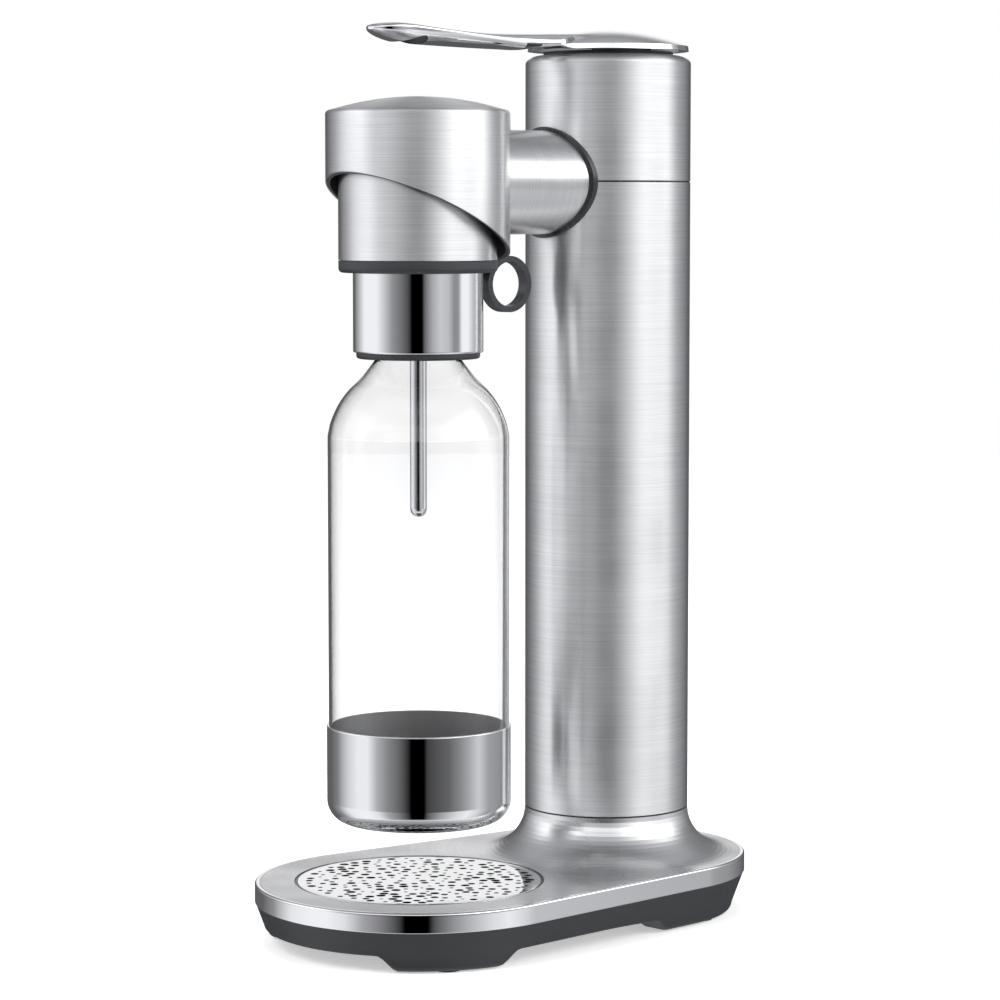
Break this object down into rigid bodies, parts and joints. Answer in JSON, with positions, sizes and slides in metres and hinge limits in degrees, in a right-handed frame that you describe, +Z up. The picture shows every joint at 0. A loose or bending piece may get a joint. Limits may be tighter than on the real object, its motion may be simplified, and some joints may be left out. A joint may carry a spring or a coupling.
{
  "type": "sparkling water maker",
  "caption": "Hand-operated sparkling water maker: gas tower with a press lever, a tilting head that holds a clear bottle, and a drip tray in its base.",
  "frame": {"origin": "middle of the outline's box, at the height of the surface that the feet stand on", "axes": "+Z up along the tower, -Y towards the bottle and the lever's tip, +X to the right as seen from the bottle side looking at the tower"},
  "size_m": [0.1508, 0.2572, 0.4187],
  "materials": {
    "brushed_steel": "satin, horizontal brushing",
    "polished_steel": "mirror polished",
    "dark_plastic": "matt, finely grained",
    "dark_gloss": "smooth",
    "black_rubber": "matt",
    "cushion_rubber": "matt foam rubber",
    "valve_brass": "turned",
    "plated_steel": "plated",
    "spring_steel": "drawn wire",
    "cylinder_paint": "satin",
    "coated_metal": "smooth dark coating",
    "clear_bottle": "clear, glossy"
  },
  "bodies": {
    "stand": {"base_pan": "dark_plastic", "rubber_feet": "black_rubber", "base_plate": "plated_steel", "base_screws": "plated_steel", "trim_band": "polished_steel", "base_cover": "brushed_steel", "cylinder_sleeve": "dark_plastic", "lower_seam_ring": "dark_gloss", "tower_tube": "brushed_steel", "upper_seam_ring": "dark_gloss", "top_housing": "brushed_steel", "lever_bezel": "dark_plastic", "pivot_bracket": "plated_steel", "lever_pin": "plated_steel", "housing_screws": "plated_steel", "valve_block": "valve_brass", "block_screws": "plated_steel", "gas_seal": "black_rubber", "relief_valve": "valve_brass", "outlet_fitting": "plated_steel", "gas_hose": "black_rubber", "swivel_banjo": "plated_steel", "plunger_spring": "spring_steel", "arm_tube": "brushed_steel", "arm_collar": "dark_gloss", "head_frame": "dark_plastic", "tilt_pins": "plated_steel", "head_cover": "brushed_steel", "cover_liner": "dark_plastic"},
    "lever": {"lever_handle": "polished_steel", "lever_hub": "dark_plastic"},
    "plunger": {"plunger": "plated_steel"},
    "valve_pin": {"valve_pin": "plated_steel"},
    "cylinder": {"gas_cylinder": "cylinder_paint", "cylinder_valve": "valve_brass"},
    "hatch": {"cylinder_hatch": "dark_plastic", "cylinder_cushion": "cushion_rubber"},
    "tray": {"drip_dish": "dark_gloss"},
    "grille": {"drip_grille": "polished_steel"},
    "tilt_head": {"cup_shell": "brushed_steel", "cup_core": "dark_plastic", "swivel_spindle": "plated_steel", "gas_nozzle": "valve_brass", "nozzle_seal": "black_rubber", "grip_ring": "spring_steel"},
    "cap": {"cap_collar": "dark_plastic", "cap_shell": "polished_steel", "cap_body": "dark_plastic", "cap_lip": "dark_plastic", "neck_insert": "dark_plastic", "bottle_seal": "black_rubber", "gas_wand": "plated_steel", "wand_tip": "plated_steel", "ring_pin": "plated_steel"},
    "finger_ring": {"release_ring": "coated_metal"},
    "vent": {"vent_stem": "dark_gloss"},
    "bottle": {"bottle_shell": "clear_bottle", "bottle_cup": "polished_steel"}
  },
  "joints": [
    {"name": "lever_press", "type": "hinge", "parent": "stand", "child": "lever", "pos_m": [0, 0.0881, 0.3974], "axis": [1, 0, 0], "range_deg": [0, 2.4], "stiffness_Nm_per_rad": 8, "springref_deg": -3.44},
    {"name": "plunger_push", "type": "slide", "parent": "stand", "child": "plunger", "axis": [0, 0, -1], "range_m": [0, 0.0012], "deforming": ["plunger_spring"]},
    {"name": "cylinder_turn", "type": "hinge", "parent": "stand", "child": "cylinder", "pos_m": [0, 0.0621, 0.2], "axis": [0, 0, 1], "range_deg": [-900, 0]},
    {"name": "valve_pin_push", "type": "slide", "parent": "cylinder", "child": "valve_pin", "axis": [0, 0, -1], "range_m": [0, 0.0012]},
    {"name": "hatch_turn", "type": "hinge", "parent": "stand", "child": "hatch", "pos_m": [0, 0.0621, 0.006], "axis": [0, 0, 1], "range_deg": [-40, 0]},
    {"name": "tray_lift", "type": "slide", "parent": "stand", "child": "tray", "axis": [0, 0, 1], "range_m": [0, 0.005]},
    {"name": "grille_lift", "type": "slide", "parent": "tray", "child": "grille", "axis": [0, 0, 1], "range_m": [0, 0.003]},
    {"name": "head_tilt", "type": "hinge", "parent": "stand", "child": "tilt_head", "pos_m": [0, -0.0532, 0.3495], "axis": [-1, 0, 0], "range_deg": [0, 18]},
    {"name": "cap_dock", "type": "slide", "parent": "tilt_head", "child": "cap", "axis": [0, 0, 1], "range_m": [-0.016, 0]},
    {"name": "ring_lift", "type": "hinge", "parent": "cap", "child": "finger_ring", "pos_m": [0, -0.0146, 0.3082], "axis": [1, 0, 0], "range_deg": [0, 15], "stiffness_Nm_per_rad": 0.05, "springref_deg": -17.19},
    {"name": "vent_push", "type": "slide", "parent": "cap", "child": "vent", "axis": [0, -1, 0], "range_m": [0, 0.0009]},
    {"name": "bottle_twist", "type": "hinge", "parent": "cap", "child": "bottle", "pos_m": [0, -0.0532, 0.28], "axis": [0, 0, 1], "range_deg": [-90, 0]}
  ],
  "couplings": [
    {"joint": "plunger_push", "follows": "lever_press", "m_per_rad": 0.026},
    {"joint": "valve_pin_push", "follows": "lever_press", "m_per_rad": 0.026},
    {"joint": "vent_push", "follows": "ring_lift", "m_per_rad": 0.003}
  ]
}
